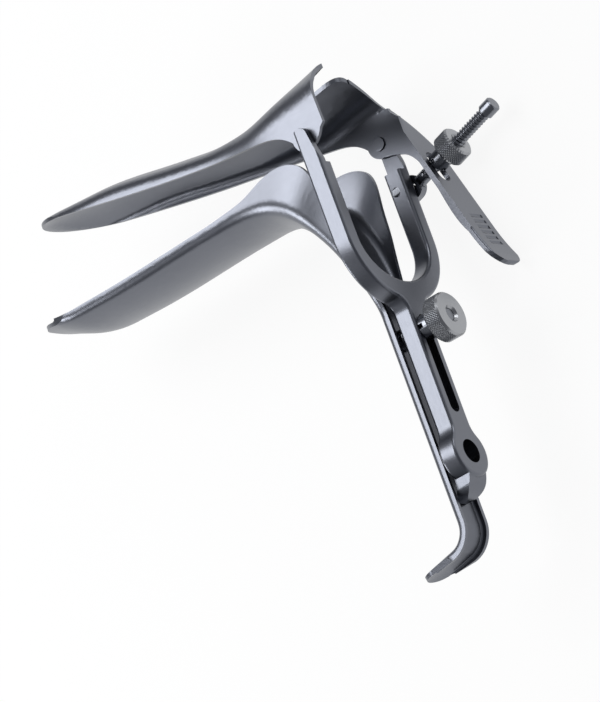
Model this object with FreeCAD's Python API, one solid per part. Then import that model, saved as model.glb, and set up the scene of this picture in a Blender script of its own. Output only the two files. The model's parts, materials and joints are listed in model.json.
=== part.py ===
import FreeCAD, Part
import math
import os

V = FreeCAD.Vector

# All sizes are millimetres. While it is modelled the instrument stands as it is used: X runs back
# towards the operator, Y to the operator's right and Z up, and the blade hinge is at X = Z = 0.
# place_in_frame lays it on its right side, with the centre of the stem hole at the origin.

# Blades and collar
sheet = 1.4
blade_half_width = 17.5
tip_length = 21.0
collar_flare = 3.4
upper_length = 114.7
upper_tip_z = 26.0
upper_nose_z = 23.4
throat_z = 16.4
collar_crown_z = 25.2
collar_back = 10.0
rim_tip_z = 26.8
lower_length = 126.0
floor_z = -15.0
station_spacing = 7.0
notch_half_width = 4.2
notch_front = -12.5
notch_flare = 4.4
wing_back = 2.4

# Hinge between the yoke and the upper blade
pivot_radius = 2.2
pivot_clearance = 0.1
pivot_depth = 0.7
knuckle_radius = 2.6
lug_radius = 4.7
tongue_gap = 0.3
tongue_width = 2.4

# Yoke
yoke_front = -2.1
yoke_depth = 6.6
yoke_edge = 1.1
arm_width = 5.4
arm_step_z = -10.6
fork_bend_z = -36.0
fork_gap_depth = 14.5
fork_depth = 21.5
fork_fillet = 5.0
stem_half_width = 4.9
stem_hole_z = -109.0
stem_hole_radius = 4.0
head_half_width = 8.5
head_fillet = 7.0
foot_half_width = 4.6
foot_z = -123.2
foot_top_z = -112.0
foot_inset = 0.3
foot_clearance = 0.4
slot_half_width = 2.3
slot_top_z = -62.3
slot_length = 33.4

# Handle
handle_half_width = 6.5
handle_depth = 3.6
handle_gap = 0.9
handle_top_z = -60.0
handle_bend_z = -129.0
handle_bend_radius = 6.5
handle_bend_turn = 78.0
handle_toe = 15.0
handle_crown = 2.6
handle_shoulder = 2.2
toe_half_width = 4.8
toe_wall = 0.6

# Stud, clamp collar and clamp nut
stud_z = -67.0
stud_radius = 2.1
stud_shoulder_radius = 3.6
stud_recess = 0.9
rivet_radius = 3.8
rivet_height = 0.9
clamp_collar_radius = 4.25
clamp_collar_length = 4.5
clamp_nut_radius = 7.65
clamp_nut_length = 6.0
nut_chamfer = 0.7
nut_countersink = 0.8
notch_width = 1.4
notch_depth = 1.5

# Thumb lever
lever_tilt = 16.0
lever_thickness = 1.8
lever_width = 13.8
lever_edge = 0.8
lever_top_x = 7.3
lever_top_z = 9.0
lever_shoulder = 18.0
lever_straight = 50.0
lever_sweep_radius = 70.0
lever_sweep_turn = 13.0
lever_tip_z = -56.6
lever_corner = 6.2
ridge_count = 6
ridge_pitch = 2.3
ridge_radius = 0.9
ridge_depth = 0.35
ridge_start = 45.0
ridge_length = 6.5
ridge_inset = 4.0

# Adjusting rod, its hinge pin, collar, nut and cap
rod_hinge_x = 0.5
rod_hinge_z = -17.2
rod_radius = 2.1
rod_length = 38.0
rod_neck = 3.0
rod_slot_length = 12.0
rod_slot_clearance = 0.6
rod_slot_drop = 1.0
eye_radius = 4.0
eye_thickness = 2.8
eye_slack = 2.6
hinge_pin_radius = 1.6
hinge_pin_head_radius = 2.9
hinge_pin_head = 1.2
hinge_pin_chamfer = 0.5
lever_collar_radius = 3.4
lever_collar_length = 4.8
rod_nut_radius = 5.7
rod_nut_length = 6.0
cap_radius = 2.65
cap_length = 4.2
cap_chamfer = 0.4

# Fits
seat_gap = 0.1
running = 0.05
press = 0.02

# Places that follow from the sizes above
collar_half_width = blade_half_width + collar_flare
tongue_inner = collar_half_width + tongue_gap
arm_outer = tongue_inner + tongue_width
arm_inner = arm_outer - arm_width
yoke_back = yoke_front + yoke_depth
handle_rim_x = yoke_front - handle_gap
handle_back_x = handle_rim_x - handle_depth
clamp_start = yoke_back + seat_gap
rod_tilt = math.radians(lever_tilt)
rod_axis = V(math.cos(rod_tilt), 0, math.sin(rod_tilt))
rod_y = arm_outer + seat_gap + eye_thickness / 2
rod_hinge = V(rod_hinge_x, rod_y, rod_hinge_z)
lever_top = V(lever_top_x, 0, lever_top_z)
lever_along = V(math.sin(rod_tilt), 0, -math.cos(rod_tilt))
lever_seat = (lever_top - rod_hinge).dot(rod_axis)
reach = 2 * (arm_outer + lever_width)
across = V(0, 1, 0)
back = V(1, 0, 0)


def box(x0, x1, y0, y1, z0, z1):
    return Part.makeBox(x1 - x0, y1 - y0, z1 - z0, V(x0, y0, z0))


def rod(radius, start, end):
    return Part.makeCylinder(radius, (end - start).Length, start, end - start)


def mix(first, second, share):
    return first + (second - first) * share


def xz(*pairs):
    return [V(x, 0, z) for x, z in pairs]


def scaled(size, *pairs):
    """Points of a side view given in multiples of one size."""
    return [V(x * size, 0, z * size) for x, z in pairs]


def polyline(points):
    return [Part.makeLine(a, b) for a, b in zip(points, points[1:])]


def spline(points):
    curve = Part.BSplineCurve()
    curve.interpolate(points)
    return curve.toShape()


def arc(*points):
    return Part.Arc(*points).toShape()


def prism(edges, start, along):
    """Sweep a closed outline, moved by start, along a vector."""
    face = Part.Face(Part.Wire(edges))
    face.translate(start)
    return face.extrude(along)


def side_prism(edges, y0, y1):
    """Sweep a closed side view, drawn in the X-Z plane, from y0 to y1."""
    return prism(edges, across * y0, across * (y1 - y0))


def crown_radius(half_width, rise, shoulder):
    """Radius of the crown arc that meets two shoulder arcs of a section smoothly."""
    span = half_width - shoulder
    return (span ** 2 + rise ** 2 - shoulder ** 2) / (2 * (rise - shoulder))


def shell_section(base, turn, half_width, rise, leg, shoulder):
    """A C-shaped outline of sheet: a shallow crown, two round shoulders and two straight legs.

    base is the middle of the closed side, seen from outside. turn is 0 where the sheet runs back
    along X and opens upward, and 90 where it runs straight down and opens backward."""
    angle = math.radians(turn)
    inward = V(math.sin(angle), 0, math.cos(angle))
    span = half_width - shoulder
    lean = math.asin(span / (crown_radius(half_width, rise, shoulder) - shoulder))
    end = rise + leg

    def at(sideways, depth):
        return base + across * sideways + inward * depth

    def round_side(inset, side):
        """Shoulder arc from the leg to the crown arc, inset from the outside of the sheet."""
        radius = shoulder - inset
        spots = []
        for part in (0, 0.5, 1):
            swing = mix(math.pi / 2, lean, part)
            spots.append(at(side * (span + radius * math.sin(swing)), rise - radius * math.cos(swing)))
        return spots

    outer_left, outer_right = round_side(0, -1), round_side(0, 1)
    inner_left, inner_right = round_side(sheet, -1), round_side(sheet, 1)
    rim_left = [at(sheet - half_width, end), at(-half_width, end)]
    rim_right = [at(half_width, end), at(half_width - sheet, end)]
    edges = [
        Part.makeLine(rim_left[1], outer_left[0]),
        arc(*outer_left),
        arc(outer_left[2], at(0, 0), outer_right[2]),
        arc(*outer_right[::-1]),
        Part.makeLine(outer_right[0], rim_right[0]),
        Part.makeLine(*rim_right),
        Part.makeLine(rim_right[1], inner_right[0]),
        arc(*inner_right),
        arc(inner_right[2], at(0, sheet), inner_left[2]),
        arc(*inner_left[::-1]),
        Part.makeLine(inner_left[0], rim_left[0]),
        Part.makeLine(*rim_left),
    ]
    return Part.Wire(edges)


def even_stations(stations, spacing):
    """Stations at about even spacing along the sheet, on smooth curves that don't overshoot."""
    place = [0.0]
    for a, b in zip(stations, stations[1:]):
        place.append(place[-1] + math.hypot(b[0] - a[0], b[1] - a[1]))
    gaps = [b - a for a, b in zip(place, place[1:])]
    last = len(stations) - 1

    def slopes(column):
        rates = [(stations[i + 1][column] - stations[i][column]) / gaps[i] for i in range(last)]
        found = [rates[0]]
        for i in range(1, last):
            before, after = rates[i - 1], rates[i]
            if before * after <= 0:
                found.append(0.0)
            else:
                first, second = 2 * gaps[i] + gaps[i - 1], gaps[i] + 2 * gaps[i - 1]
                found.append((first + second) / (first / before + second / after))
        return found + [rates[-1]]

    columns = range(len(stations[0]))
    slope = [slopes(column) for column in columns]
    count = int(round(place[-1] / spacing))
    rows = []
    for k in range(count + 1):
        along = place[-1] * k / count
        i = max(j for j in range(last) if place[j] <= along + seat_gap)
        u = (along - place[i]) / gaps[i]
        row = []
        for c in columns:
            start, end = stations[i][c], stations[i + 1][c]
            leave, arrive = slope[c][i] * gaps[i], slope[c][i + 1] * gaps[i]
            row.append(start * (2 * u ** 3 - 3 * u ** 2 + 1) + leave * (u ** 3 - 2 * u ** 2 + u)
                       + end * (3 * u ** 2 - 2 * u ** 3) + arrive * (u ** 3 - u ** 2))
        rows.append(row)
    return rows


def sheet_loft(stations):
    """Loft sheet through stations: x, z, turn, half width, rise, leg and shoulder radius."""
    spacing = station_spacing
    sections = [shell_section(V(x, 0, z), *rest) for x, z, *rest in even_stations(stations, spacing)]
    return Part.makeLoft(sections, True, False)


def tip_trim(tip_x):
    """What lies outside the half-elliptical end of a blade, seen from above."""
    centre = V(tip_x + tip_length, 0, -reach)
    half = blade_half_width + seat_gap
    curve = Part.Ellipse(centre - back * tip_length, centre + across * half, centre)
    rounded = Part.Face(Part.Wire(curve.toShape())).extrude(V(0, 0, 2 * reach))
    return box(tip_x - tip_length, tip_x + tip_length, -reach, reach, -reach, reach).cut(rounded)


def upper_stations():
    """From past the tip of the arched blade to the back of the collar. Each row is the share of the
    blade's length, the crown's height, the half width, and rise, leg and shoulder per half width."""
    w = blade_half_width
    c = collar_half_width
    rows = [
        (1.02, upper_nose_z, 0.91 * w, 0.26, 0.05, 0.14),
        (0.92, upper_tip_z, 0.98 * w, 0.34, 0.13, 0.2),
        (0.74, mix(throat_z, upper_tip_z, 0.91), w, 0.42, 0.23, 0.26),
        (0.45, mix(throat_z, upper_tip_z, 0.31), w, 0.44, 0.23, 0.28),
        (0.32, mix(throat_z, upper_tip_z, 0.05), 1.01 * w, 0.45, 0.24, 0.31),
        (0.235, throat_z, mix(w, c, 0.41), 0.48, 0.37, 0.37),
        (0.148, mix(throat_z, collar_crown_z, 0.2), mix(w, c, 0.85), 0.55, 0.65, 0.42),
        (0.07, mix(throat_z, collar_crown_z, 0.48), c, 0.61, 0.77, 0.47),
        (0.0, mix(throat_z, collar_crown_z, 0.7), c, 0.67, 0.77, 0.505),
        (-collar_back / upper_length, collar_crown_z, c, 0.74, 0.77, 0.525),
    ]
    return [(-upper_length * s, z, 180, h, h * rise, h * leg, h * shoulder)
            for s, z, h, rise, leg, shoulder in rows]


def rim_spots():
    """Spots on the lower edge of the upper blade, from past its tip to the front of the hinge lug."""
    shares = ((1.13, 1.0), (0.93, 0.836), (0.65, 0.582), (0.41, 0.388), (0.165, 0.231), (0.083, 0.142))
    return xz(*[(-upper_length * s, rim_tip_z * t) for s, t in shares]) + [V(-lug_radius, 0, 0)]


def upper_trims():
    """What is cut from the shell below the rims and behind the wings, left side then right side."""
    r = lug_radius
    rim = rim_spots()
    corners = [V(reach, 0, reach), V(reach, 0, -reach), V(rim[0].x, 0, -reach), rim[0]]
    front_lug = arc(*scaled(r, (-1, 0), (-0.6, -0.8), (0, -1)))
    back_lug = arc(*scaled(r, (0, -1), (0.72, -0.7), (1.4, 0.04)))
    left_wing = scaled(r, (1.4, 0.04), (1.74, 0.3), (1.68, 3.5), (1.43, 4.5)) + [V(r, 0, reach)]
    left = [spline(rim), front_lug, back_lug] + polyline(left_wing + corners)
    right_wing = scaled(r, (2.55, 0.64), (1.45, 1.8), (0.9, 2.66), (0.64, 3.6)) + [V(wing_back, 0, reach)]
    right = [spline(rim), front_lug] + polyline(scaled(r, (0, -1), (2.55, -1), (2.55, 0.64)))
    right += [spline(right_wing)] + polyline([right_wing[-1]] + corners)
    return side_prism(left, -reach, 0).fuse(side_prism(right, 0, reach))


def roof_notch():
    """The rounded notch between the wings, open to the back and cut straight down. Its right side
    turns out in a round corner."""
    half = notch_half_width
    wide = half + notch_flare
    inner = notch_front + half
    outer = collar_back + notch_flare
    edges = [arc(V(inner, -half, 0), V(notch_front, 0, 0), V(inner, half, 0))]
    corner = [V(inner, half, 0), V(-wing_back, mix(half, wide, 0.25), 0),
              V(wing_back / 4, mix(half, wide, 0.55), 0), V(wing_back, wide + wing_back, 0)]
    edges.append(spline(corner))
    edges += polyline([corner[-1], V(outer, wide, 0), V(outer, -wide, 0), V(inner, -half, 0)])
    return prism(edges, V(), V(0, 0, reach))


def lever_band():
    """Side view of the thumb plate: straight past the rod, then swept back to its tip."""
    bend = lever_top + lever_along * lever_straight
    centre = bend + rod_axis * lever_sweep_radius
    turn = math.radians(lever_sweep_turn)

    def edge(offset):
        """Start and sweep of one face of the plate, which lies offset in front of the other."""
        spots = []
        for part in (0, 0.5, 1):
            out = lever_along * math.sin(turn * part) - rod_axis * math.cos(turn * part)
            spots.append(centre + out * (lever_sweep_radius + offset))
        return lever_top - rod_axis * offset, spots

    back_start, back_sweep = edge(0)
    front_start, front_sweep = edge(lever_thickness)
    edges = [Part.makeLine(back_start, back_sweep[0]), arc(*back_sweep)]
    edges += [Part.makeLine(back_sweep[2], front_sweep[2]), arc(*front_sweep[::-1])]
    return edges + polyline([front_sweep[0], front_start, back_start])


def lever_outline():
    """The thumb plate seen from the back, as a block along X to keep."""
    y0 = collar_half_width - sheet
    y1 = y0 + lever_width
    r = lever_corner
    low = lever_tip_z + r
    cut = 0.3 * r
    shoulder = [V(0, y0 + sheet, lever_top_z), V(0, mix(y0, y1, 0.5), lever_top_z - lever_shoulder * 0.3),
                V(0, y1, lever_top_z - lever_shoulder)]
    edges = [
        Part.makeLine(V(0, y0, lever_top_z), shoulder[0]),
        spline(shoulder),
        Part.makeLine(shoulder[2], V(0, y1, low)),
        arc(V(0, y1, low), V(0, y1 - cut, lever_tip_z + cut), V(0, y1 - r, lever_tip_z)),
        Part.makeLine(V(0, y1 - r, lever_tip_z), V(0, y0 + r, lever_tip_z)),
        arc(V(0, y0 + r, lever_tip_z), V(0, y0 + cut, lever_tip_z + cut), V(0, y0, low)),
        Part.makeLine(V(0, y0, low), V(0, y0, lever_top_z)),
    ]
    return prism(edges, V(), back * reach)


def lever_slot():
    """The slot that the adjusting rod passes through, lengthways in the thumb plate."""
    half = rod_radius + rod_slot_clearance
    run = rod_slot_length / 2 - half
    middle = rod_hinge + lever_along * rod_slot_drop
    high, low = middle - lever_along * run, middle + lever_along * run
    side = across * half
    bars = [rod(half, end, end + rod_axis * reach) for end in (high, low)]
    bars.append(prism(polyline([high + side, low + side, low - side, high - side, high + side]), V(),
                      rod_axis * reach))
    return bars[0].fuse(bars[1:])


def grip_grooves():
    """Grooves in the back of the thumb plate, which leave ridges for the thumb."""
    bend = lever_top + lever_along * lever_straight
    y0 = collar_half_width - sheet + ridge_inset
    grooves = []
    for i in range(ridge_count):
        past = ridge_start + i * ridge_pitch - lever_straight
        sweep = max(past, 0) / lever_sweep_radius
        out = lever_along * math.sin(sweep) + rod_axis * (1 - math.cos(sweep))
        spot = bend + out * lever_sweep_radius + lever_along * min(past, 0)
        facing = rod_axis * math.cos(sweep) - lever_along * math.sin(sweep)
        spot += facing * (ridge_radius - ridge_depth)
        grooves.append(rod(ridge_radius, spot + across * y0, spot + across * (y0 + ridge_length)))
    return grooves


def lever_wall():
    """The part of the right wing that runs back to the thumb plate and down its front edge."""
    r = lug_radius
    end = lever_top + lever_along * lever_straight
    low = end - rod_axis * (lever_thickness + seat_gap)
    curve = scaled(r, (0, -1), (0.64, -1.15), (1.28, -1.38), (1.87, -1.74), (2.38, -2.43), (2.75, -3.4),
                   (3.1, -4.9)) + [low]
    front = -0.42 * r
    edges = [spline(curve)]
    edges += polyline([low, end, lever_top, V(front, 0, lever_top_z), V(front, 0, -0.9 * r), curve[0]])
    return side_prism(edges, collar_half_width - sheet, collar_half_width)


def lever():
    """The thumb plate and the wall that joins it to the wing."""
    plate = side_prism(lever_band(), 0, reach).common(lever_outline())
    y0 = collar_half_width - sheet

    def on_back(edge):
        """Edges of the plate's back that aren't at the corner with the wall."""
        first, last = edge.Vertexes[0].Point, edge.Vertexes[-1].Point
        spots = [first, last, edge.CenterOfMass]
        outside = [spot.y > y0 + press for spot in spots]
        behind = [(spot - lever_top).dot(rod_axis) > -press for spot in spots]
        return any(outside) and all(behind)

    plate = plate.makeFillet(lever_edge, [edge for edge in plate.Edges if on_back(edge)])
    body = plate.fuse(lever_wall()).removeSplitter()
    return body.cut(grip_grooves())


def upper_blade():
    shell = sheet_loft(upper_stations()).cut(upper_trims()).cut(tip_trim(-upper_length)).cut(roof_notch())
    body = shell.fuse(lever()).removeSplitter()
    hole = rod(pivot_radius + pivot_clearance, across * -reach, across * reach)
    return body.cut(lever_slot()).cut(hole)


def handle_section(half_width):
    """Section of the handle's channel at its top end."""
    leg = handle_depth - handle_crown
    return handle_back_x, handle_top_z, 90, half_width, handle_crown, leg, handle_shoulder


def lower_stations():
    """From past the tip of the blade through the collar and the neck to the top of the handle. Each
    row is the share of the blade's length, the height in floor depths, the turn, the half width,
    and rise, leg and shoulder per half width."""
    w = blade_half_width
    h = handle_half_width
    rows = [
        (1.008, 0.38, -14, 0.87 * w, 0.20, 0.01, 0.1),
        (0.948, 0.66, -12, 0.94 * w, 0.25, 0.015, 0.13),
        (0.857, 0.93, -6, 0.98 * w, 0.30, 0.02, 0.165),
        (0.667, 1.0, 0, w, 0.34, 0.015, 0.2),
        (0.413, 0.96, 0, w, 0.35, 0.02, 0.21),
        (0.317, 0.967, 4, 1.01 * w, 0.37, 0.04, 0.235),
        (0.238, 1.08, 17, 1.04 * w, 0.43, 0.17, 0.29),
        (0.175, 1.373, 38, 1.08 * w, 0.48, 0.63, 0.35),
        (0.119, 1.92, 57, mix(w, h, 0.16), 0.42, 0.37, 0.31),
        (0.079, 2.6, 74, mix(w, h, 0.46), 0.36, 0.14, 0.3),
    ]
    blade = [(-lower_length * s, floor_z * t, turn, half, half * rise, half * leg, half * shoulder)
             for s, t, turn, half, rise, leg, shoulder in rows]
    x, z, turn, *rest = handle_section(h)
    neck = (x - sheet / 2, mix(blade[-1][1], z, 0.48), 85, mix(w, h, 0.74), 3.1, 0.9, 2.6)
    return blade + [neck, (x, mix(blade[-1][1], z, 0.81), turn, mix(w, h, 0.96)) + tuple(rest[1:]),
                    (x, z, turn, *rest)]


def toe_outline(start, along):
    """Plan of the toe, which narrows to a round end, as a block to keep."""
    square = across.cross(along)
    round_start = start + along * (handle_toe - toe_half_width)
    wide = across * (handle_half_width + seat_gap)
    narrow = across * toe_half_width
    end = start + along * handle_toe
    edges = polyline([round_start - narrow, start - wide, start + wide, round_start + narrow])
    edges.append(arc(round_start + narrow, end, round_start - narrow))
    return prism(edges, square * -reach, square * 2 * reach)


def toe_slope(start, along):
    """What is cut from the walls of the toe, which run down to its round end."""
    square = along.cross(across)
    end = start + along * handle_toe
    top = reach * square
    low, high = square * (sheet + toe_wall), square * (handle_depth + seat_gap)
    corners = [start + high, end + low, end + along + low, end + along + top, start + top, start + high]
    return prism(polyline(corners), across * -reach, across * 2 * reach)


def handle():
    """The straight grip, its end turned forward, and the toe."""
    x, z, *rest = handle_section(handle_half_width)
    section = Part.Face(shell_section(V(x, 0, z), *rest))
    grip = section.extrude(V(0, 0, handle_bend_z - z))
    section.translate(V(0, 0, handle_bend_z - z))
    centre = V(x - handle_bend_radius, 0, handle_bend_z)
    bend = section.revolve(centre, across, handle_bend_turn)
    angle = math.radians(90 + handle_bend_turn)
    start = centre + V(math.sin(angle), 0, math.cos(angle)) * handle_bend_radius
    along = V(math.cos(angle), 0, -math.sin(angle))
    section.rotate(centre, across, handle_bend_turn)
    toe = section.extrude(along * handle_toe).common(toe_outline(start, along)).cut(toe_slope(start, along))
    return [grip, bend, toe]


def lower_blade():
    blade = sheet_loft(lower_stations()).cut(tip_trim(-lower_length))
    hole = rod(stud_radius + press, V(-reach, 0, stud_z), V(0, 0, stud_z))
    return blade.fuse(handle()).removeSplitter().cut(hole)


def yoke_half_disc(half_width, depth):
    """Half of an ellipse below the arms, as a block along X."""
    centre = V(0, 0, fork_bend_z)
    side, low = across * half_width, V(0, 0, -depth)
    wide = half_width > depth
    curve = Part.Ellipse(*((centre + side, centre + low) if wide else (centre + low, centre + side)), centre)
    disc = prism([curve.toShape()], back * yoke_front, back * yoke_depth)
    below = box(yoke_front, yoke_back, -reach, reach, fork_bend_z - reach, fork_bend_z)
    return disc.common(below)


def yoke_body():
    """The fork, stem and head as one even bar with its outside edges rounded."""
    top_z = knuckle_radius
    head = rod(head_half_width, V(yoke_front, 0, stem_hole_z), V(yoke_back, 0, stem_hole_z))
    stem = box(yoke_front, yoke_back, -stem_half_width, stem_half_width, stem_hole_z, fork_bend_z)
    arms = box(yoke_front, yoke_back, -arm_outer, arm_outer, fork_bend_z, top_z)
    gap = box(yoke_front, yoke_back, -arm_inner, arm_inner, fork_bend_z, top_z)
    outside = yoke_half_disc(arm_outer, fork_depth).fuse([arms, stem, head]).removeSplitter()

    def corners(z_low, z_high):
        """Inward corners between the stem and what it joins, as edges along X."""
        found = []
        for edge in outside.Edges:
            spot = edge.CenterOfMass
            if z_low < spot.z < z_high and abs(spot.x - yoke_back + yoke_depth / 2) < press:
                if abs(abs(spot.y) - stem_half_width) < press:
                    found.append(edge)
        return found

    fork_low = fork_bend_z - fork_depth
    outside = outside.makeFillet(fork_fillet, corners(fork_low - press, fork_bend_z - arm_width))
    outside = outside.makeFillet(head_fillet, corners(stem_hole_z, stem_hole_z + head_half_width))
    body = outside.cut(yoke_half_disc(arm_inner, fork_gap_depth).fuse(gap))
    faces = (yoke_front, yoke_back)
    rims = [edge for edge in body.Edges if min(abs(edge.BoundBox.XMin - x) + abs(edge.BoundBox.XMax - x)
                                              for x in faces) < press]
    return body.makeFillet(yoke_edge, rims)


def yoke_foot():
    """The end of the stem, bent forward into the handle's channel."""
    front_x = handle_back_x + sheet + foot_clearance
    top = xz((yoke_back - foot_inset, foot_top_z), (yoke_front + foot_inset, foot_top_z))
    low = foot_top_z - foot_z
    front = [top[1]] + xz((yoke_front, mix(foot_top_z, foot_z, 0.45)), (yoke_front - 0.1 * low,
                          mix(foot_top_z, foot_z, 0.75)), (front_x, mix(foot_top_z, foot_z, 0.92)))
    tip = [front[-1]] + xz((front_x + 0.04 * low, mix(foot_top_z, foot_z, 0.98)),
                           (front_x + 0.14 * low, foot_z))
    rear = [tip[-1]] + xz((mix(front_x, yoke_back, 0.58), mix(foot_top_z, foot_z, 0.84)),
                          (mix(front_x, yoke_back, 0.86), mix(foot_top_z, foot_z, 0.53))) + top[:1]
    side = side_prism([spline(front), arc(*tip), spline(rear), Part.makeLine(*top)],
                      -foot_half_width, foot_half_width)
    r = foot_half_width
    top, low = foot_top_z + press, foot_z + r
    wide = r + press
    plan = polyline([V(0, wide, low), V(0, wide, top), V(0, -wide, top), V(0, -wide, low)])
    plan.append(arc(V(0, -wide, low), V(0, 0, foot_z - press), V(0, wide, low)))
    return side.common(prism(plan, back * -reach, back * 2 * reach))


def yoke_slot():
    """The slot in the stem that the stud slides in."""
    low = slot_top_z - slot_length + slot_half_width
    high = slot_top_z - slot_half_width
    ends = [rod(slot_half_width, V(-reach, 0, z), V(reach, 0, z)) for z in (low, high)]
    return box(-reach, reach, -slot_half_width, slot_half_width, low, high).fuse(ends)


def arm_top_trim():
    """What is cut above the arms: the room for the collar, and the tongues' sides in side view."""
    room = box(-reach, reach, -tongue_inner, tongue_inner, arm_step_z, reach)
    r = knuckle_radius
    shape = xz((yoke_front - press, arm_step_z), (yoke_front - press, arm_step_z + r), (-r, 0), (0, r),
               (r, 0), (yoke_back - 0.42 * r, arm_step_z + 2.2 * r),
               (yoke_back + press, arm_step_z + 0.4 * r), (yoke_back + press, arm_step_z))
    edges = polyline(shape[:3]) + [arc(*shape[2:5])] + polyline(shape[4:] + shape[:1])
    keep = side_prism(edges, -reach, reach)
    return room.fuse(box(-reach, reach, -reach, reach, arm_step_z, reach).cut(keep))


def pivot_tips():
    """The round tips of the arms, which the collar turns on."""
    tips = []
    for side in (-1, 1):
        start = across * side * (tongue_inner + seat_gap)
        tips.append(rod(pivot_radius, start, across * side * (collar_half_width - sheet - pivot_depth)))
    return tips


def yoke():
    body = yoke_body().fuse(yoke_foot()).cut(arm_top_trim()).cut(yoke_slot())
    body = body.cut(rod(stem_hole_radius, V(-reach, 0, stem_hole_z), V(reach, 0, stem_hole_z)))
    body = body.fuse(pivot_tips()).removeSplitter()
    pin_spot = V(rod_hinge.x, 0, rod_hinge.z)
    return body.cut(rod(hinge_pin_radius + press, pin_spot, pin_spot + across * reach))


def stem_stud():
    """The stud, with its shoulder on the channel's curved floor and its end in the nut."""
    inside = crown_radius(handle_half_width, handle_crown, handle_shoulder) - sheet
    sag = inside - math.sqrt(inside ** 2 - stud_shoulder_radius ** 2)
    seat = handle_back_x + sheet + sag + press
    end = clamp_start + clamp_collar_length + seat_gap + clamp_nut_length - stud_recess
    shank = rod(stud_radius, V(handle_back_x, 0, stud_z), V(end, 0, stud_z))
    shoulder = rod(stud_shoulder_radius, V(seat, 0, stud_z), V(yoke_front - foot_clearance, 0, stud_z))
    return shank.fuse(shoulder).removeSplitter()


def stud_rivet():
    """The low dome that closes the stud on the front of the handle."""
    dome_radius = (rivet_radius ** 2 + rivet_height ** 2) / (2 * rivet_height)
    ball = Part.makeSphere(dome_radius, V(handle_back_x - rivet_height + dome_radius, 0, stud_z))
    front = V(handle_back_x - 2 * rivet_height, 0, stud_z)
    return ball.common(rod(2 * rivet_radius, front, V(handle_back_x, 0, stud_z)))


def notched_collar(radius, length, bore, start, axis, sideways):
    """A plain hub with a cross of two notches in the end that faces the plate."""
    end = start + axis * length
    collar = rod(radius, start, end).cut(rod(bore, start, end))
    upward = axis.cross(sideways)
    for along, over in ((sideways, upward), (upward, sideways)):
        long, half = along * (radius + notch_width), over * (notch_width / 2)
        corners = [start - long - half, start + long - half, start + long + half, start - long + half]
        collar = collar.cut(prism(polyline(corners + corners[:1]), V(), axis * notch_depth))
    return collar


def knurled_nut(radius, length, bore, start, axis):
    """A round nut with chamfered rims and a countersunk bore. Its knurl is left to the finish."""
    body = Part.makeCylinder(radius, length, start, axis)
    rims = [edge for edge in body.Edges if edge.Closed]
    body = body.makeChamfer(nut_chamfer, rims)
    body = body.cut(Part.makeCylinder(bore, length, start, axis))
    sink = start + axis * (length - nut_countersink)
    return body.cut(Part.makeCone(bore, bore + nut_countersink, nut_countersink, sink, axis))


def far_rim(body, axis):
    """The closed edge of a round body that lies farthest along an axis."""
    return max((edge for edge in body.Edges if edge.Closed), key=lambda edge: edge.CenterOfMass.dot(axis))


def clamp_collar():
    start = V(clamp_start, 0, stud_z)
    bore = stud_radius + running
    return notched_collar(clamp_collar_radius, clamp_collar_length, bore, start, back, across)


def clamp_nut():
    start = V(clamp_start + clamp_collar_length + seat_gap, 0, stud_z)
    return knurled_nut(clamp_nut_radius, clamp_nut_length, stud_radius + running, start, back)


def adjusting_rod():
    """Flat elongated eye, then the round shank. Its thread is left to the finish."""
    half = across * (eye_thickness / 2)
    far = rod_hinge + rod_axis * eye_slack
    bore = hinge_pin_radius + running
    normal = across.cross(rod_axis)

    def long_eye(radius):
        side = normal * radius
        corners = [rod_hinge - side, far - side, far + side, rod_hinge + side, rod_hinge - side]
        ends = [rod(radius, spot - half, spot + half) for spot in (rod_hinge, far)]
        return prism(polyline(corners), -half, half * 2).fuse(ends)

    shank = rod(rod_radius, far + rod_axis * rod_neck, rod_hinge + rod_axis * rod_length)
    return long_eye(eye_radius).fuse(shank).cut(long_eye(bore)).removeSplitter()


def rod_hinge_pin():
    """The headed pin through the right arm that the rod's eye swings on."""
    spot = V(rod_hinge.x, 0, rod_hinge.z)
    head_y = rod_y + eye_thickness / 2 + seat_gap
    shank = rod(hinge_pin_radius, spot + across * (arm_inner), spot + across * head_y)
    head = rod(hinge_pin_head_radius, spot + across * head_y, spot + across * (head_y + hinge_pin_head))
    return shank.fuse(head.makeChamfer(hinge_pin_chamfer, [far_rim(head, across)])).removeSplitter()


def lever_collar():
    start = rod_hinge + rod_axis * (lever_seat + seat_gap)
    bore = rod_radius + running
    return notched_collar(lever_collar_radius, lever_collar_length, bore, start, rod_axis, across)


def adjusting_nut():
    start = rod_hinge + rod_axis * (lever_seat + 2 * seat_gap + lever_collar_length)
    return knurled_nut(rod_nut_radius, rod_nut_length, rod_radius + running, start, rod_axis)


def rod_end_cap():
    """The cap on the end of the rod, which keeps the nut from running off."""
    cap = Part.makeCylinder(cap_radius, cap_length, rod_hinge + rod_axis * rod_length, rod_axis)
    return cap.makeChamfer(cap_chamfer, [far_rim(cap, rod_axis)])


def place_in_frame(shape):
    """Lay the instrument on its right side, with the centre of the stem hole at the origin."""
    moved = shape.copy()
    moved.translate(V(-(yoke_front + yoke_back) / 2, 0, -stem_hole_z))
    moved.rotate(V(), back, -90)
    return moved


NODES = [upper_blade, lower_blade, yoke, stem_stud, stud_rivet, clamp_collar, clamp_nut, adjusting_rod,
         rod_hinge_pin, lever_collar, adjusting_nut, rod_end_cap]

os.makedirs("parts", exist_ok=True)
for make in NODES:
    shape = place_in_frame(make())
    shape.exportStep("parts/%s.step" % make.__name__)
    size = shape.BoundBox
    print("%-18s solids %d valid %s volume %8.1f  x %.1f..%.1f y %.1f..%.1f z %.1f..%.1f" % (
        make.__name__, len(shape.Solids), shape.isValid(), shape.Volume, size.XMin, size.XMax, size.YMin,
        size.YMax, size.ZMin, size.ZMax))
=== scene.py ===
import json
import math

import bmesh
import bpy
from mathutils import Matrix, Vector

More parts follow.
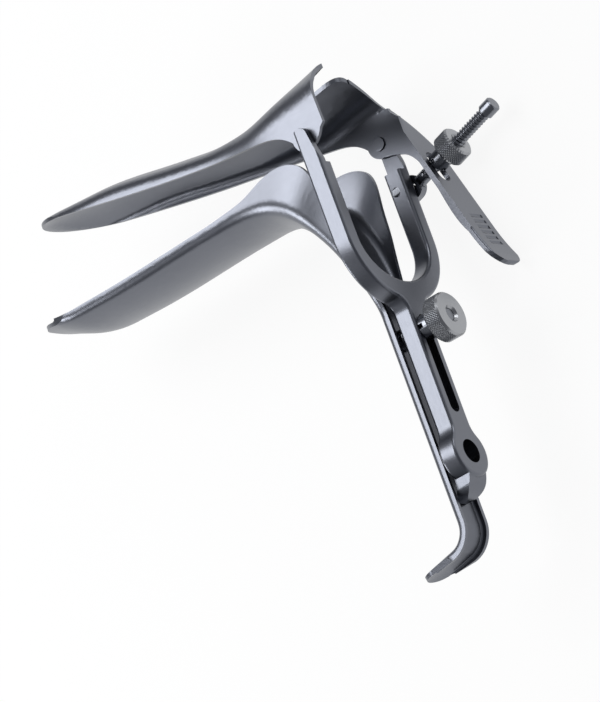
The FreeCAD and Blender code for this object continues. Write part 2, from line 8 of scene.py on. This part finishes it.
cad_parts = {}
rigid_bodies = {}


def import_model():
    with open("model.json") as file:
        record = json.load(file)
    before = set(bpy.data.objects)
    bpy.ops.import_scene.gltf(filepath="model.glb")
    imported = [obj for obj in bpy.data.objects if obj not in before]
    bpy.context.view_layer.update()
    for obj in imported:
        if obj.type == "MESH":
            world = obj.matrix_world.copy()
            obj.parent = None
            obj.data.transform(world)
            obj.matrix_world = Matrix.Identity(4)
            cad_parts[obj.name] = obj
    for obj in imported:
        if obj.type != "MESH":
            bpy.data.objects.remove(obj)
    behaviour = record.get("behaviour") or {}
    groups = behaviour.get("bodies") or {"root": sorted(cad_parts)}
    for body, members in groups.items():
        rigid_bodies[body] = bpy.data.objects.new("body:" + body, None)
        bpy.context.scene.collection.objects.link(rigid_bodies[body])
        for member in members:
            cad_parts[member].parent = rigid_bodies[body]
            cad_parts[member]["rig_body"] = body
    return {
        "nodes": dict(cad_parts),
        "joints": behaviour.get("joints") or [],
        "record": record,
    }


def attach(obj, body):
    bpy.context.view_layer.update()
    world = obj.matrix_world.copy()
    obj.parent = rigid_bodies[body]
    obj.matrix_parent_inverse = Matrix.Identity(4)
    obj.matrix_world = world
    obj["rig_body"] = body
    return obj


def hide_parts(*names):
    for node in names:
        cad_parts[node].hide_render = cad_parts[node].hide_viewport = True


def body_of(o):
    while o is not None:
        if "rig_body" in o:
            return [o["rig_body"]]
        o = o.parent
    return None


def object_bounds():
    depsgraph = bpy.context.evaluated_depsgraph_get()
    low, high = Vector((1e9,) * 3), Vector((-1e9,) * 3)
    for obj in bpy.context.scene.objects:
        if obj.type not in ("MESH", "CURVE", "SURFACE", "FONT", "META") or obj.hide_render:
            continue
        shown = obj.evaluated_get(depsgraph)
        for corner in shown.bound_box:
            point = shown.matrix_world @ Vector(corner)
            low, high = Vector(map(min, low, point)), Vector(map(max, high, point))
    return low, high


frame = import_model()
cad_low, cad_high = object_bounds()

NODES = frame["nodes"]
JOINTS = {joint["name"]: joint for joint in frame["joints"]}
NODE_SLOT = {part["node"]: part["material_slot"] for part in frame["record"]["subparts"]}

# The photograph's frame in pixels, and the camera that matches it
PHOTO_WIDTH = 600
PHOTO_HEIGHT = 702
PIXELS_PER_METRE = 3200.0
HINGE_PIXEL_X = 342.0
HINGE_PIXEL_Y = 141.0
LENS_MM = 400.0
SENSOR_MM = 36.0
CLIP_NEAR = 0.1
CLIP_FAR = 20.0
CAMERA_RIGHT = Vector((0.742, -0.330, -0.583)).normalized()
CAMERA_BACK = Vector((0.514, -0.276, 0.811)).normalized()

# Sizes of the finish in metres, and its counts of steps
MM = 0.001
MERGE = 0.002 * MM
SHEET_EDGE = 0.35 * MM
YOKE_EDGE = 0.2 * MM
TURNED_EDGE = 0.2 * MM
EDGE_SEGMENTS = 2
NUT_BORE = 2.15 * MM
NUT_CHAMFER = 0.7 * MM
NUT_SINK = 0.8 * MM
KNURL_DEPTH = 0.3 * MM
KNURL_PITCH = 0.95 * MM
ROD_NECK_LENGTH = 9.0 * MM
ROD_PITCH = 1.2 * MM
THREAD_DEPTH = 0.42 * MM
THREAD_STEPS = 28
LEVER_TIP_LENGTH = 7.0 * MM
LEVER_TIP_STEPS = 7
LEVER_TIP_KEEP = 0.35 * MM

# Shares of one pitch: the thread leaves its root, starts and ends its crest, and is back at its root
THREAD_RISE = 0.1
CREST_START = 0.42
CREST_END = 0.58
THREAD_FOOT = 0.9

# How far each finish breaks its edges, and the turn from which an edge counts as sharp
EDGES = {"blade_steel": SHEET_EDGE, "yoke_steel": YOKE_EDGE, "turned_steel": TURNED_EDGE}
SHEET_TURN = math.radians(28)
TURNED_TURN = math.radians(34)
TURNS = {"blade_steel": SHEET_TURN, "yoke_steel": SHEET_TURN, "turned_steel": TURNED_TURN,
         "knurled_steel": TURNED_TURN}

# Steel: colours, and noise per metre along and across the brushed direction
SLATE = (0.165, 0.174, 0.2)
TURNED_GREY = (0.2, 0.21, 0.235)
KNURL_GREY = (0.36, 0.37, 0.39)
ALONG = 300.0
ACROSS = 2500.0
TURNED_GRAIN = 1500.0
KNURL_GRAIN = 1200.0
STEELS = {
    "blade_steel": {"colour": SLATE, "roughness": 0.33, "scratch": 0.05,
                    "grain": (ALONG, ACROSS, ACROSS), "dirt": 0.92},
    "yoke_steel": {"colour": SLATE, "roughness": 0.34, "scratch": 0.05,
                   "grain": (ACROSS, ALONG, ACROSS), "dirt": 0.92},
    "turned_steel": {"colour": TURNED_GREY, "roughness": 0.25, "scratch": 0.04,
                     "grain": (TURNED_GRAIN, TURNED_GRAIN, TURNED_GRAIN), "dirt": 0.94},
    "knurled_steel": {"colour": KNURL_GREY, "roughness": 0.3, "scratch": 0.04,
                      "grain": (KNURL_GRAIN, KNURL_GRAIN, KNURL_GRAIN), "dirt": 0.92},
}
SCRATCH_DEPTH = 0.02 * MM
NOISE_DETAIL = 3.0
NOISE_ROUGHNESS = 0.6
CLOUDS_PER_METRE = 45.0

# The scratch noise between these two values takes the steel from a little smoother to a little rougher
SMOOTH_NOISE = 0.3
ROUGH_NOISE = 0.7
SMOOTHER_BY = 0.02
ROUGHER_BY = 0.03

# Floor and surroundings
FLOOR_SIZE = 4.0
FLOOR_WHITE = (0.92, 0.92, 0.92)
FLOOR_ROUGHNESS = 0.9
FLOOR_GLOW = 0.9
WORLD_GREY = (0.22, 0.225, 0.24)


def joint_place(name):
    """Where a joint stands."""
    return Vector(JOINTS[name]["pos_m"])


def joint_axis(name):
    """The direction of a joint."""
    return Vector(JOINTS[name]["axis"]).normalized()


HINGE = joint_place("blade_open")
ROD_HINGE = joint_place("rod_swing")
ROD_AXIS = joint_axis("adjusting_nut_spin")


# Helpers

def link(name, data):
    """Put a mesh, a camera or a lamp into the scene as an object."""
    item = bpy.data.objects.new(name, data)
    bpy.context.collection.objects.link(item)
    return item


def to_mesh(name, bm):
    """Turn a bmesh into a mesh and let the bmesh go."""
    mesh = bpy.data.meshes.new(name)
    bm.to_mesh(mesh)
    bm.free()
    return mesh


def along_axis(place, axis):
    """Matrix that stands local Z along an axis at a place."""
    return Matrix.Translation(place) @ axis.to_track_quat("Z", "Y").to_matrix().to_4x4()


def whole(bm):
    """All of a bmesh, as an operator's geometry."""
    return bm.verts[:] + bm.edges[:] + bm.faces[:]


def close_cut(bm, cut):
    """Fill the hole that a bisecting cut has left."""
    rim = [item for item in cut["geom_cut"] if isinstance(item, bmesh.types.BMEdge)]
    bmesh.ops.holes_fill(bm, edges=rim)


# Materials

def steel(name, colour, roughness, scratch, grain, dirt):
    """Satin stainless steel with faint clouds in its colour and fine scratches along its grain."""
    material = bpy.data.materials.new(name)
    material.use_nodes = True
    tree = material.node_tree
    shader = tree.nodes["Principled BSDF"]
    shader.inputs["Metallic"].default_value = 1.0
    place = tree.nodes.new("ShaderNodeTexCoord")

    stretch = tree.nodes.new("ShaderNodeMapping")
    stretch.inputs["Scale"].default_value = grain
    tree.links.new(place.outputs["Object"], stretch.inputs["Vector"])

    lines = tree.nodes.new("ShaderNodeTexNoise")
    lines.inputs["Scale"].default_value = 1.0
    lines.inputs["Detail"].default_value = NOISE_DETAIL
    lines.inputs["Roughness"].default_value = NOISE_ROUGHNESS
    tree.links.new(stretch.outputs["Vector"], lines.inputs["Vector"])

    clouds = tree.nodes.new("ShaderNodeTexNoise")
    clouds.inputs["Scale"].default_value = CLOUDS_PER_METRE
    clouds.inputs["Detail"].default_value = NOISE_DETAIL
    tree.links.new(place.outputs["Object"], clouds.inputs["Vector"])

    shade = tree.nodes.new("ShaderNodeMixRGB")
    shade.inputs["Color1"].default_value = (*colour, 1.0)
    shade.inputs["Color2"].default_value = (*[channel * dirt for channel in colour], 1.0)
    tree.links.new(clouds.outputs["Fac"], shade.inputs["Fac"])
    tree.links.new(shade.outputs["Color"], shader.inputs["Base Color"])

    gloss = tree.nodes.new("ShaderNodeMapRange")
    gloss.inputs["From Min"].default_value = SMOOTH_NOISE
    gloss.inputs["From Max"].default_value = ROUGH_NOISE
    gloss.inputs["To Min"].default_value = roughness - SMOOTHER_BY
    gloss.inputs["To Max"].default_value = roughness + ROUGHER_BY
    tree.links.new(lines.outputs["Fac"], gloss.inputs["Value"])
    tree.links.new(gloss.outputs["Result"], shader.inputs["Roughness"])

    bump = tree.nodes.new("ShaderNodeBump")
    bump.inputs["Strength"].default_value = scratch
    bump.inputs["Distance"].default_value = SCRATCH_DEPTH
    tree.links.new(lines.outputs["Fac"], bump.inputs["Height"])
    tree.links.new(bump.outputs["Normal"], shader.inputs["Normal"])
    return material


SLOTS = {name: steel(name, **finish) for name, finish in STEELS.items()}


# Pieces made from the CAD solids

def merged_copy(node):
    """The node's own triangles, joined into one surface, as a bmesh."""
    bm = bmesh.new()
    bm.from_mesh(node.data)
    bmesh.ops.remove_doubles(bm, verts=bm.verts, dist=MERGE)
    bmesh.ops.dissolve_degenerate(bm, edges=bm.edges, dist=MERGE)
    return bm


def break_edges(piece, edge, turn):
    """Round the sharp edges of a piece, and even the shading of the faces beside them."""
    rounding = piece.modifiers.new("rounding", "BEVEL")
    rounding.width = edge
    rounding.segments = EDGE_SEGMENTS
    rounding.limit_method = "ANGLE"
    rounding.angle_limit = turn
    rounding.harden_normals = True
    evening = piece.modifiers.new("evening", "WEIGHTED_NORMAL")
    evening.mode = "FACE_AREA"
    evening.keep_sharp = True


def add_piece(name, bm, node_name, edge=None):
    """Finish a bmesh as the piece that stands for one CAD node."""
    slot_name = NODE_SLOT[node_name]
    turn = TURNS[slot_name]
    mesh = to_mesh(name, bm)
    mesh.materials.append(SLOTS[slot_name])
    mesh.shade_smooth()
    mesh.set_sharp_from_angle(angle=turn)
    piece = link(name, mesh)
    if edge:
        break_edges(piece, edge, turn)
    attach(piece, body_of(NODES[node_name])[0])
    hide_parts(node_name)


def dress(node_name):
    """A smooth copy of a CAD node with its edges broken."""
    edge = EDGES[NODE_SLOT[node_name]]
    add_piece(node_name + "_finish", merged_copy(NODES[node_name]), node_name, edge)


def blade_with_lever():
    """The upper blade, with the flat end of its thumb lever cut to a half ellipse."""
    name = "upper_blade"
    bm = merged_copy(NODES[name])
    end_y = min(vert.co.y for vert in bm.verts)
    above = end_y + LEVER_TIP_LENGTH + LEVER_TIP_KEEP
    bmesh.ops.bisect_plane(bm, geom=whole(bm), plane_co=(0, above, 0), plane_no=(0, 1, 0))
    tip = [vert for vert in bm.verts if vert.co.y < end_y + LEVER_TIP_LENGTH]
    side_low = min(vert.co.z for vert in tip)
    side_high = max(vert.co.z for vert in tip)
    half = (side_high - side_low) / 2
    middle = (side_high + side_low) / 2

    def in_tip(item):
        """Whether all of an edge or a face is below the first cut."""
        return all(vert.co.y < above + MERGE for vert in item.verts)

    for sign in (-1, 1):
        for step in range(LEVER_TIP_STEPS):
            swing = math.radians(90) * (step + 0.5) / LEVER_TIP_STEPS
            spot = Vector((0, end_y + LEVER_TIP_LENGTH * (1 - math.cos(swing)),
                           middle + sign * half * math.sin(swing)))
            facing = Vector((0, -half * math.cos(swing), sign * LEVER_TIP_LENGTH * math.sin(swing)))
            near = [vert for vert in bm.verts if vert.co.y < above + MERGE]
            near += [edge for edge in bm.edges if in_tip(edge)]
            near += [face for face in bm.faces if in_tip(face)]
            cut = bmesh.ops.bisect_plane(bm, geom=near, plane_co=spot, plane_no=facing.normalized(),
                                         clear_outer=True)
            close_cut(bm, cut)
    add_piece("upper_blade_finish", bm, name, SHEET_EDGE)


# Turned pieces

def extent(node_name, place, axis):
    """Start and end of a node along an axis, and its largest radius, measured from its own mesh."""
    spots = [vert.co - place for vert in NODES[node_name].data.vertices]
    heights = [spot.dot(axis) for spot in spots]
    radius = max((spot - axis * height).length for spot, height in zip(spots, heights))
    return min(heights), max(heights), radius


def thumb_nut(node_name):
    """A round nut with a diamond knurl between its chamfered rims, and a sink at its outer face."""
    place = joint_place(node_name + "_spin")
    axis = joint_axis(node_name + "_spin")
    low, high, radius = extent(node_name, place, axis)
    steps = 2 * round(math.tau * radius / KNURL_PITCH)
    band = high - low - 2 * NUT_CHAMFER
    rows = 2 * round(band / KNURL_PITCH)
    outline = [(NUT_BORE, low), (radius - NUT_CHAMFER, low)]
    outline += [(radius, low + NUT_CHAMFER + band * row / rows) for row in range(rows + 1)]
    outline += [(radius - NUT_CHAMFER, high), (NUT_BORE + NUT_SINK, high), (NUT_BORE, high - NUT_SINK)]
    bm = bmesh.new()
    spots = [bm.verts.new((reach, 0, height)) for reach, height in outline]
    edges = [bm.edges.new((first, second)) for first, second in zip(spots, spots[1:] + spots[:1])]
    bmesh.ops.spin(bm, geom=spots + edges, cent=(0, 0, 0), axis=(0, 0, 1), angle=math.tau, steps=steps,
                   use_merge=True)
    bmesh.ops.remove_doubles(bm, verts=bm.verts, dist=MERGE)
    bmesh.ops.recalc_face_normals(bm, faces=bm.faces)

    def is_valley(vert):
        """Every second spot of the band's grid is cut in, like a chessboard's dark squares."""
        if vert.co.xy.length < radius - MERGE:
            return False
        row = round((vert.co.z - low - NUT_CHAMFER) / band * rows)
        column = round(math.atan2(vert.co.y, vert.co.x) / math.tau * steps)
        return (row + column) % 2 == 1

    valleys = {vert for vert in bm.verts if is_valley(vert)}
    for face in list(bm.faces):
        pits = [vert for vert in face.verts if vert in valleys]
        if len(face.verts) == 4 and len(pits) == 2:
            bmesh.utils.face_split(face, pits[0], pits[1])
    for vert in valleys:
        vert.co.xy *= (radius - KNURL_DEPTH) / radius
    bmesh.ops.transform(bm, matrix=along_axis(place, axis), verts=bm.verts)
    add_piece(node_name + "_knurled", bm, node_name)


def rod_thread(start, end, crest):
    """The rod's helical thread between two heights, as one strip with flat crests wound round its axis."""
    turns = math.ceil((end - start) / ROD_PITCH)
    root = crest - THREAD_DEPTH
    profile = [(root, 0.0), (root, THREAD_RISE), (crest, CREST_START), (crest, CREST_END),
               (root, THREAD_FOOT), (root, 1.0)]
    screw = bmesh.new()
    spots = [screw.verts.new((reach, 0, start + ROD_PITCH * share)) for reach, share in profile]
    edges = [screw.edges.new((first, second)) for first, second in zip(spots, spots[1:])]
    bmesh.ops.spin(screw, geom=spots + edges, cent=(0, 0, 0), axis=(0, 0, 1),
                   dvec=(0, 0, ROD_PITCH / THREAD_STEPS), angle=math.tau * turns, steps=THREAD_STEPS * turns)
    bmesh.ops.remove_doubles(screw, verts=screw.verts, dist=MERGE)
    bmesh.ops.bisect_plane(screw, geom=whole(screw), plane_co=(0, 0, end), plane_no=(0, 0, 1),
                           clear_outer=True)
    bmesh.ops.recalc_face_normals(screw, faces=screw.faces)
    bmesh.ops.transform(screw, matrix=along_axis(ROD_HINGE, ROD_AXIS), verts=screw.verts)
    return to_mesh("thread", screw)


def adjusting_screw():
    """The rod with its flat eye and its thread."""
    name = "adjusting_rod"
    spots = [vert.co - ROD_HINGE for vert in NODES[name].data.vertices]
    end = max(spot.dot(ROD_AXIS) for spot in spots)
    tail = [spot for spot in spots if spot.dot(ROD_AXIS) > end - MM]
    crest = max((spot - ROD_AXIS * spot.dot(ROD_AXIS)).length for spot in tail)
    bm = merged_copy(NODES[name])
    cut = bmesh.ops.bisect_plane(bm, geom=whole(bm), plane_co=ROD_HINGE + ROD_AXIS * ROD_NECK_LENGTH,
                                 plane_no=ROD_AXIS, clear_outer=True)
    close_cut(bm, cut)
    thread = rod_thread(ROD_NECK_LENGTH - ROD_PITCH, end, crest)
    bm.from_mesh(thread)
    bpy.data.meshes.remove(thread)
    add_piece("adjusting_rod_threaded", bm, name)


# Camera, stage and lamps

def make_camera():
    """A long lens that sees the hinge at its pixel of the photograph, at the photograph's scale."""
    up = CAMERA_BACK.cross(CAMERA_RIGHT)
    distance = LENS_MM / SENSOR_MM * PHOTO_HEIGHT / PIXELS_PER_METRE
    across = (HINGE_PIXEL_X - PHOTO_WIDTH / 2) / PIXELS_PER_METRE
    above = (PHOTO_HEIGHT / 2 - HINGE_PIXEL_Y) / PIXELS_PER_METRE
    target = HINGE - CAMERA_RIGHT * across - up * above
    data = bpy.data.cameras.new("camera")
    data.lens = LENS_MM
    data.sensor_width = SENSOR_MM
    data.clip_start = CLIP_NEAR
    data.clip_end = CLIP_FAR
    camera = link("camera", data)
    turn = Matrix((CAMERA_RIGHT, up, CAMERA_BACK)).transposed()
    camera.matrix_world = Matrix.Translation(target + CAMERA_BACK * distance) @ turn.to_4x4()
    bpy.context.scene.camera = camera


def math_node(tree, operation, first, second):
    """The output of a math node that is fed by two sockets, or by a socket and a number."""
    node = tree.nodes.new("ShaderNodeMath")
    node.operation = operation
    tree.links.new(first, node.inputs[0])
    if isinstance(second, float):
        node.inputs[1].default_value = second
    else:
        tree.links.new(second, node.inputs[1])
    return node.outputs["Value"]


def white_floor():
    """A floor that shows white to the camera and to reflections, and still keeps the shadow."""
    bm = bmesh.new()
    bmesh.ops.create_grid(bm, x_segments=1, y_segments=1, size=FLOOR_SIZE / 2)
    bmesh.ops.transform(bm, matrix=Matrix.Translation((0, 0, cad_low.z)), verts=bm.verts)
    mesh = to_mesh("floor", bm)
    floor = link("floor", mesh)
    material = bpy.data.materials.new("floor")
    material.use_nodes = True
    mesh.materials.append(material)

    tree = material.node_tree
    shader = tree.nodes["Principled BSDF"]
    shader.inputs["Base Color"].default_value = (*FLOOR_WHITE, 1.0)
    shader.inputs["Roughness"].default_value = FLOOR_ROUGHNESS
    rays = tree.nodes.new("ShaderNodeLightPath")
    mirrored = math_node(tree, "MAXIMUM", rays.outputs["Is Glossy Ray"], rays.outputs["Is Transmission Ray"])
    seen = math_node(tree, "MAXIMUM", rays.outputs["Is Camera Ray"], mirrored)
    glow = tree.nodes.new("ShaderNodeEmission")
    glow.inputs["Strength"].default_value = 1.0
    blend = tree.nodes.new("ShaderNodeMixShader")
    tree.links.new(math_node(tree, "MULTIPLY", seen, FLOOR_GLOW), blend.inputs["Fac"])
    tree.links.new(shader.outputs["BSDF"], blend.inputs[1])
    tree.links.new(glow.outputs["Emission"], blend.inputs[2])
    tree.links.new(blend.outputs["Shader"], tree.nodes["Material Output"].inputs["Surface"])


def soft_light(name, toward, distance, size, power):
    """A round soft lamp that faces the middle of the object from a direction."""
    data = bpy.data.lights.new(name, "AREA")
    data.shape = "DISK"
    data.size = size
    data.energy = power
    toward = Vector(toward).normalized()
    light = link(name, data)
    light.matrix_world = along_axis((cad_low + cad_high) / 2 + toward * distance, toward)


def stage_and_light():
    """The white floor, three lamps and the grey world round them."""
    white_floor()
    soft_light("overhead", toward=(-0.35, 0.35, 0.87), distance=0.9, size=0.7, power=6.0)
    soft_light("rim", toward=(-0.9, -0.35, 0.45), distance=0.7, size=0.3, power=1.8)
    soft_light("tail", toward=(0.75, 0.6, 0.3), distance=0.8, size=0.3, power=1.0)
    world = bpy.data.worlds.new("world")
    world.use_nodes = True
    background = world.node_tree.nodes["Background"]
    background.inputs["Color"].default_value = (*WORLD_GREY, 1.0)
    background.inputs["Strength"].default_value = 1.0
    scene = bpy.context.scene
    scene.world = world
    scene.view_settings.view_transform = "Standard"


blade_with_lever()
for plain_node in ("lower_blade", "yoke", "stem_stud", "stud_rivet", "clamp_collar", "rod_hinge_pin",
                   "lever_collar", "rod_end_cap"):
    dress(plain_node)
for nut_node in ("clamp_nut", "adjusting_nut"):
    thumb_nut(nut_node)
adjusting_screw()

make_camera()
stage_and_light()
